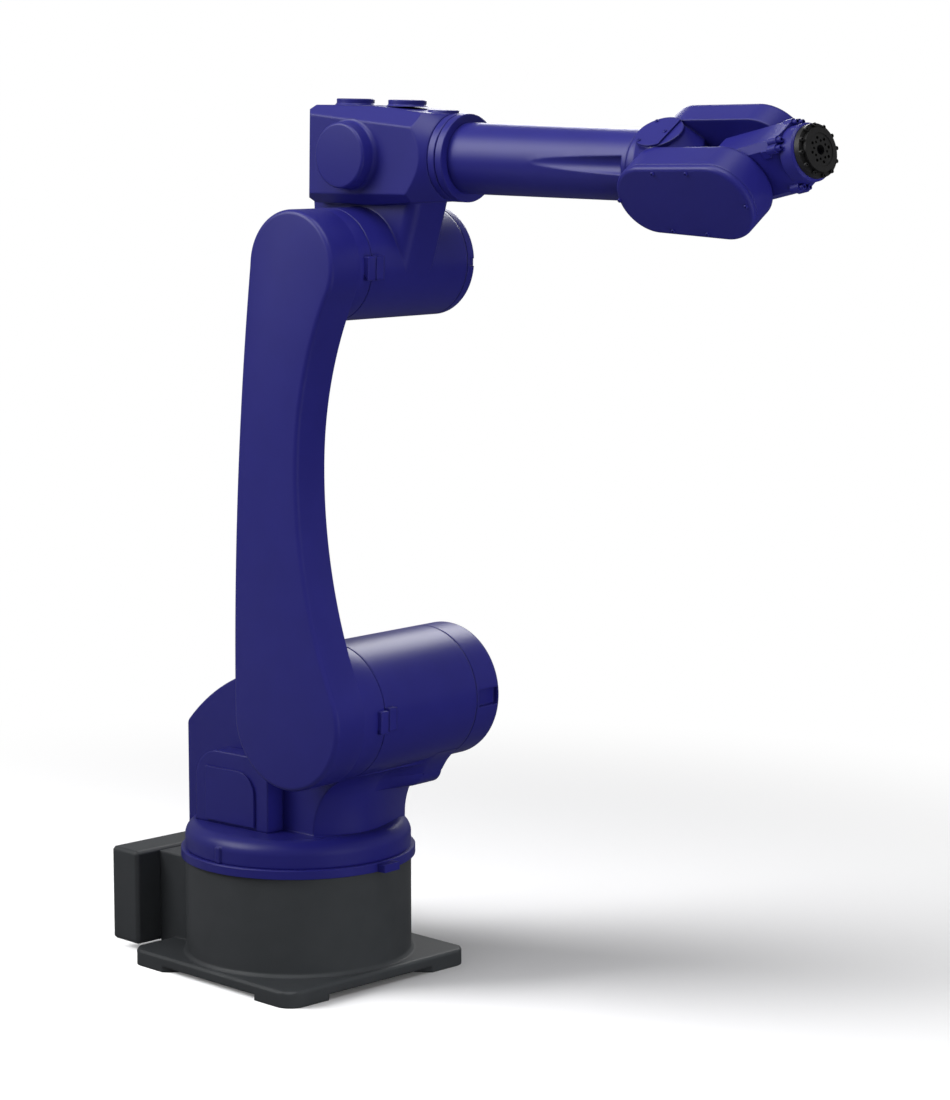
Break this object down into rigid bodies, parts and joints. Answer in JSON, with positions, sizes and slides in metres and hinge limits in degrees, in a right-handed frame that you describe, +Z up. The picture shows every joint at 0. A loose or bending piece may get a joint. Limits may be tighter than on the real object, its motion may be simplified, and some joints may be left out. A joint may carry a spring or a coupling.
{
  "type": "industrial robot arm",
  "caption": "Floor-standing six-axis industrial robot arm with a curved lower arm, an offset elbow, a rolling forearm, a forked wrist and a drilled tool flange.",
  "frame": {"origin": "middle of the base's underside, on the floor", "axes": "+X to the base's front, +Y to its left, +Z up; the turntable stands 4.7 degrees round from +X towards +Y, as pictured"},
  "size_m": [1.3412, 0.4206, 1.4273],
  "materials": {
    "blue_paint": "satin",
    "charcoal_paint": "satin",
    "blackened_steel": "black oxide"
  },
  "bodies": {
    "base": {"base_casting": "charcoal_paint", "cable_box": "charcoal_paint"},
    "turntable": {"slew_ring": "blue_paint", "turntable_casting": "blue_paint", "turn_motor_box": "blue_paint", "turn_motor_cover": "blue_paint", "shoulder_end_cap": "blue_paint"},
    "lower_arm": {"lower_arm": "blue_paint"},
    "elbow": {"elbow_casting": "blue_paint", "elbow_end_cap": "blue_paint", "wrist_motor_cover": "blue_paint", "rear_top_cap": "blue_paint", "front_top_cap": "blue_paint", "fixed_roll_ring": "blue_paint"},
    "forearm": {"rolling_ring": "blue_paint", "forearm_tube": "blue_paint", "fork_casting": "blue_paint", "near_fork_cover": "blue_paint", "fork_cap": "blue_paint"},
    "wrist": {"wrist_body": "blue_paint", "wrist_collar": "blue_paint"},
    "flange": {"flange_ring": "blackened_steel", "tool_flange": "blackened_steel"}
  },
  "joints": [
    {"name": "base_turn", "type": "hinge", "parent": "base", "child": "turntable", "pos_m": [0, 0, 0.19], "axis": [0, 0, 1], "range_deg": [-174, 165]},
    {"name": "shoulder", "type": "hinge", "parent": "turntable", "child": "lower_arm", "pos_m": [0.16145, 0.01327, 0.46], "axis": [-0.0819, 0.9966, 0], "range_deg": [-65, 90]},
    {"name": "elbow", "type": "hinge", "parent": "lower_arm", "child": "elbow", "pos_m": [0.18, 0.0148, 1.17076], "axis": [0.0819, -0.9966, 0], "range_deg": [-75, 150]},
    {"name": "forearm_roll", "type": "hinge", "parent": "elbow", "child": "forearm", "pos_m": [0.18353, 0.01509, 1.33972], "axis": [0.9964, 0.0819, -0.0209], "range_deg": [-203, 137]},
    {"name": "wrist_tilt", "type": "hinge", "parent": "forearm", "child": "wrist", "pos_m": [0.89099, 0.07325, 1.32485], "axis": [0.0574, -0.8368, -0.5445], "range_deg": [-130, 99]},
    {"name": "flange_spin", "type": "hinge", "parent": "wrist", "child": "flange", "pos_m": [1.03243, 0.06373, 1.35437], "axis": [0.9768, -0.0657, 0.2039], "range_deg": [-360, 360]}
  ]
}
